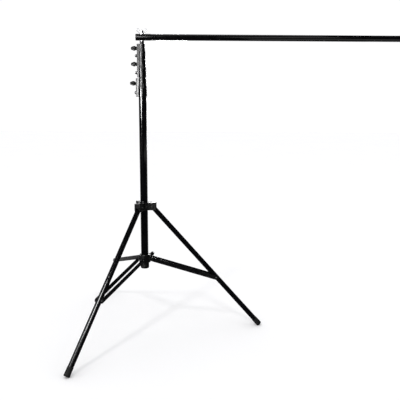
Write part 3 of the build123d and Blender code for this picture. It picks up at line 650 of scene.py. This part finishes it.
def eased(node, body, ease=0.7 * MM):
    """A cast part with its sharp edges eased."""
    mesh = bmesh.new()
    mesh.from_mesh(frame["nodes"][node].data)
    bmesh.ops.remove_doubles(mesh, verts=mesh.verts, dist=1e-6)
    bmesh.ops.dissolve_limit(mesh, angle_limit=radians(1), verts=mesh.verts, edges=mesh.edges)
    edges = [edge for edge in mesh.edges if edge.is_manifold and edge.calc_face_angle() > SHARP]
    bmesh.ops.bevel(mesh, geom=edges, offset=ease, offset_type="OFFSET", segments=1,
                    affect="EDGES", clamp_overlap=True)
    piece(f"{node}_piece", mesh, body, SLOT_OF[node], node)


def tripod():
    eased("leg_yoke", "base")
    eased("brace_collar", "brace_collar")
    for letter in LETTERS:
        round_tube(f"leg_tube_{letter}", f"leg_{letter}", leg_place(letter), wall=1.2)
        foot(letter)
        brace(letter)
    pivot_bolts("leg_pivot_bolts", "base", [f"leg_{letter}_fold" for letter in LETTERS],
                radius=4.0, flats=13.0, head=4.5, half=16.5)
    pivot_bolts("brace_pivot_bolts", "brace_collar",
                [f"brace_{letter}_fold" for letter in LETTERS],
                radius=3.0, flats=10.0, head=3.5, half=17.35)
    knob("lock_knob")
    screw("lock_knob")


# ---------------------------------------------------------------- crossbar
def bar_place():
    """The frame on the crossbar's axis over the column, with its z along the bar."""
    return axes((0, 0, middle("crossbar_tube").z), (1, 0, 0))


def bar_cap(node, body, place):
    """A plug whose domed disc closes a tube's end, with its z out of the tube."""
    low, high, radius = span(node, place)
    disc, shank, crown, dish = high - 1.5, (radius - 1.5) * 0.8, radius * 0.72, radius * 0.66
    outline = rounded([(0, low, 0), (shank, low, 1.0), (shank, disc, 0), (radius, disc, 0.2),
                       (radius, high, 1.1), (crown, high, 0.4), (dish, high - 0.5, 0.4),
                       (0, high - 0.5, 0)])
    mesh = bmesh.new()
    turn(mesh, place, outline)
    piece(f"{node}_piece", mesh, body, "cap_plastic", node)


def washer():
    place = column_place()
    low, high, radius = span("bar_washer", place)
    bore = 4.4
    outline = rounded([(radius, low, 0.3), (radius, high, 0.5), (bore, high, 0.2),
                       (bore, low, 0.2)], steps=3)
    mesh = bmesh.new()
    turn(mesh, place, outline)
    piece("bar_washer_piece", mesh, "crossbar", "bright_chrome", "bar_washer")


def wing_nut():
    """A tapered hub with two rounded wings that sweep up."""
    low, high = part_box("wing_nut")
    bottom, rise = low.z, (high.z - low.z) / MM
    lean, bore, hub_high, half = radians(14.0), 4.35, 11.5, 1.8
    hub = rounded([(bore, 0, 0.4), (8.2, 0, 0.8), (6.4, hub_high, 1.0), (bore, hub_high, 0.4)])
    wing = rounded([(2.5, 2.2, 0), (10.5, 2.2, 6.0), (23.4, 9.0, 6.5), (21.8, rise, 4.2),
                    (14.2, rise - 1.0, 3.6), (7.4, 10.6, 3.0), (2.5, 10.6, 0)], steps=8)
    mesh = bmesh.new()
    turn(mesh, axes((0, 0, bottom), UP, (1, 0, 0)), hub)
    for side in (1, -1):
        out = Vector((cos(lean), sin(lean), 0)) * side
        place = axes((0, 0, bottom), out.cross(UP), out)
        prism(mesh, place, [tuple(point) for point in wing], -half, half, 1.0, steps=4)
    piece("wing_nut_piece", mesh, "wing_nut", "bright_chrome", "wing_nut")


def joint_collar():
    """The collar that grips the sliding inner bar: a ribbed sleeve with a boss for its knob."""
    place = bar_place()
    low, high, _ = span("joint_collar", place)
    _, tube_end, tube_radius = span("crossbar_tube", place)
    seat, seat_end = tube_radius + FIT, tube_end + FIT
    radius, guide, corner, plain = 17.5, 11.1, 2.0, 3
    grooves = [low + 8, low + 12, high - 12, high - 8]
    start = rounded([(seat, low, 0), (radius, low, corner), (radius, low + plain, 0)])[:-1]
    ribs = ringed(radius, low + plain, high - plain, grooves)
    finish = rounded([(radius, high - plain, 0), (radius, high, corner), (guide, high, 0.6),
                      (guide, tube_end, 0)])[1:]
    mesh = bmesh.new()
    turn(mesh, place, [*start, *ribs, *finish, (guide, seat_end), (seat, seat_end)])
    bore = 4.35
    boss = rounded([(bore, -8, 0), (10.6, -8, 0), (9.4, -4.5, 2.0), (9.0, 0, 1.2),
                    (bore, 0, 0.6)])
    turn(mesh, joint_place("joint_knob_turn"), boss, around=72)
    piece("joint_collar_piece", mesh, "crossbar", "collar_plastic", "joint_collar")


def crossbar():
    bar_cap("crossbar_cap", "crossbar", bar_place() @ Matrix.Rotation(pi, 4, "X"))
    bar_cap("inner_bar_cap", "inner_bar", bar_place())
    washer()
    wing_nut()
    joint_collar()
    knob("joint_knob")
    screw("joint_knob")


dress_cad_nodes()
column()
collars()
tripod()
crossbar()


# ---------------------------------------------------------------- floor, light and camera
def plain_material(name, colour, rough):
    """A matt material whose colour is only just uneven."""
    nodes = Nodes(name)
    nodes.set(specular_ior_level=0.1, roughness=rough)
    faint = tuple(channel * 0.985 for channel in colour)
    shade = nodes.blend(nodes.remap(nodes.noise(1.2), 0.3, 0.7, 0.0, 1.0), colour, faint)
    nodes.link(shade, nodes.shader.inputs["Base Color"])
    return nodes.material


def studio_floor(size=24.0, drop=0.0004):
    """A broad pale floor, a hair under the feet."""
    mesh = bmesh.new()
    bmesh.ops.create_grid(mesh, x_segments=8, y_segments=8, size=size)
    data = bpy.data.meshes.new("floor")
    mesh.to_mesh(data)
    mesh.free()
    data.materials.append(plain_material("floor_paper", (0.925, 0.925, 0.93), 0.9))
    floor = bpy.data.objects.new("floor", data)
    floor.location.z = -drop
    floor.visible_glossy = False
    bpy.context.scene.collection.objects.link(floor)


def facing(direction):
    """The turn of a light whose beam runs in a direction."""
    return direction.to_track_quat("-Z", "Y").to_euler()


def softbox(name, spot, target, width, height, radiance, colour=(1, 1, 1)):
    """A softbox at spot that faces target, shown only in the gloss of what it lights."""
    data = bpy.data.lights.new(name, "AREA")
    data.shape = "RECTANGLE"
    data.size = width
    data.size_y = height
    data.energy = radiance * pi * width * height
    data.color = colour
    made = bpy.data.objects.new(name, data)
    made.location = spot
    made.rotation_euler = facing(Vector(target) - Vector(spot))
    made.visible_camera = False
    made.visible_diffuse = False
    bpy.context.scene.collection.objects.link(made)


def window():
    """A broad far light from front left, which throws the faint shadows on the floor."""
    data = bpy.data.lights.new("window", "SUN")
    data.energy = 0.46
    data.angle = radians(6.0)
    data.color = (1.0, 1.0, 0.97)
    made = bpy.data.objects.new("window", data)
    made.rotation_euler = facing(Vector((0.31, 0.56, -0.77)))
    made.visible_glossy = False
    bpy.context.scene.collection.objects.link(made)


# Each softbox: its name, its place and what it faces, its width and height, all in metres,
# and its radiance, with a colour where it has one.
SOFTBOXES = (
    ("key_low", (-1.70, -2.12, 1.12), (0, 0, 1.1), 0.45, 0.20, 130),
    ("key_high", (-1.70, -2.12, 1.60), (0, 0, 1.3), 0.60, 0.74, 26),
    ("key_top", (-1.65, -2.06, 2.27), (0, 0, 1.3), 0.60, 0.62, 13),
    ("strip_low", (-0.34, -2.42, 1.27), (0, 0, 1.2), 0.20, 0.22, 22),
    ("strip_high", (-0.34, -2.42, 1.80), (0, 0, 1.3), 0.20, 0.84, 5),
    ("high", (-0.74, -2.22, 2.74), (-0.17, -0.32, 0.2), 0.75, 0.52, 42),
    ("left_card", (-2.77, -0.39, 1.95), (0, 0, 1.2), 2.2, 1.1, 0.8, (0.88, 0.88, 1.0)),
    ("right_card", (1.02, -2.39, 2.0), (0, 0, 1.4), 1.05, 0.7, 1.4),
    ("low_card", (1.5, -0.65, 0.75), (1.5, -0.65, 1.4), 1.9, 0.9, 0.6),
    ("overhead", (0.3, 0.3, 3.4), (0.3, 0.3, 0), 2.0, 1.6, 1.0),
    ("back_strip", (0, 2.75, 1.4), (0, 0, 1.0), 0.3, 1.6, 20),
    ("back_left", (-1.9, 1.9, 0.55), (0, 0, 1.0), 0.5, 0.7, 1.8),
    ("back_right", (1.9, 1.9, 0.55), (0, 0, 1.0), 0.5, 0.7, 1.8),
    ("floor_back", (0.2, 2.1, 0.0), (0.2, 2.1, 1.0), 6.0, 2.8, 0.55),
)


def studio_light():
    """The window, the softboxes, and a pale room that reflections do not show."""
    window()
    for row in SOFTBOXES:
        softbox(*row)
    world = bpy.data.worlds.new("studio")
    bpy.context.scene.world = world
    world.use_nodes = True
    background = world.node_tree.nodes["Background"]
    background.inputs["Color"].default_value = (0.99, 0.99, 1.0, 1)
    background.inputs["Strength"].default_value = 1.03
    world.cycles_visibility.glossy = False


def camera():
    """A level-headed view from in front, a little above the middle of the stand."""
    spot = (0.2466, -2.3427, 1.0426)
    pitch, roll, aside = 0.1739, 0.0056, 0.0073
    focal, frame_width, sensor = 504.29, 400, 36.0
    ahead = Vector((aside, 1, 0)).normalized()
    look = ahead * cos(pitch) - UP * sin(pitch)
    right = ahead.cross(UP)
    top = right.cross(look)
    across = right * cos(roll) + top * sin(roll)
    upright = top * cos(roll) - right * sin(roll)
    data = bpy.data.cameras.new("camera")
    data.sensor_width = sensor
    data.lens = focal / frame_width * sensor
    made = bpy.data.objects.new("camera", data)
    turned = Matrix((across, upright, -look)).transposed().to_4x4()
    made.matrix_world = Matrix.Translation(spot) @ turned
    bpy.context.scene.collection.objects.link(made)
    bpy.context.scene.camera = made


studio_floor()
studio_light()
camera()
bpy.context.scene.view_settings.view_transform = "Standard"
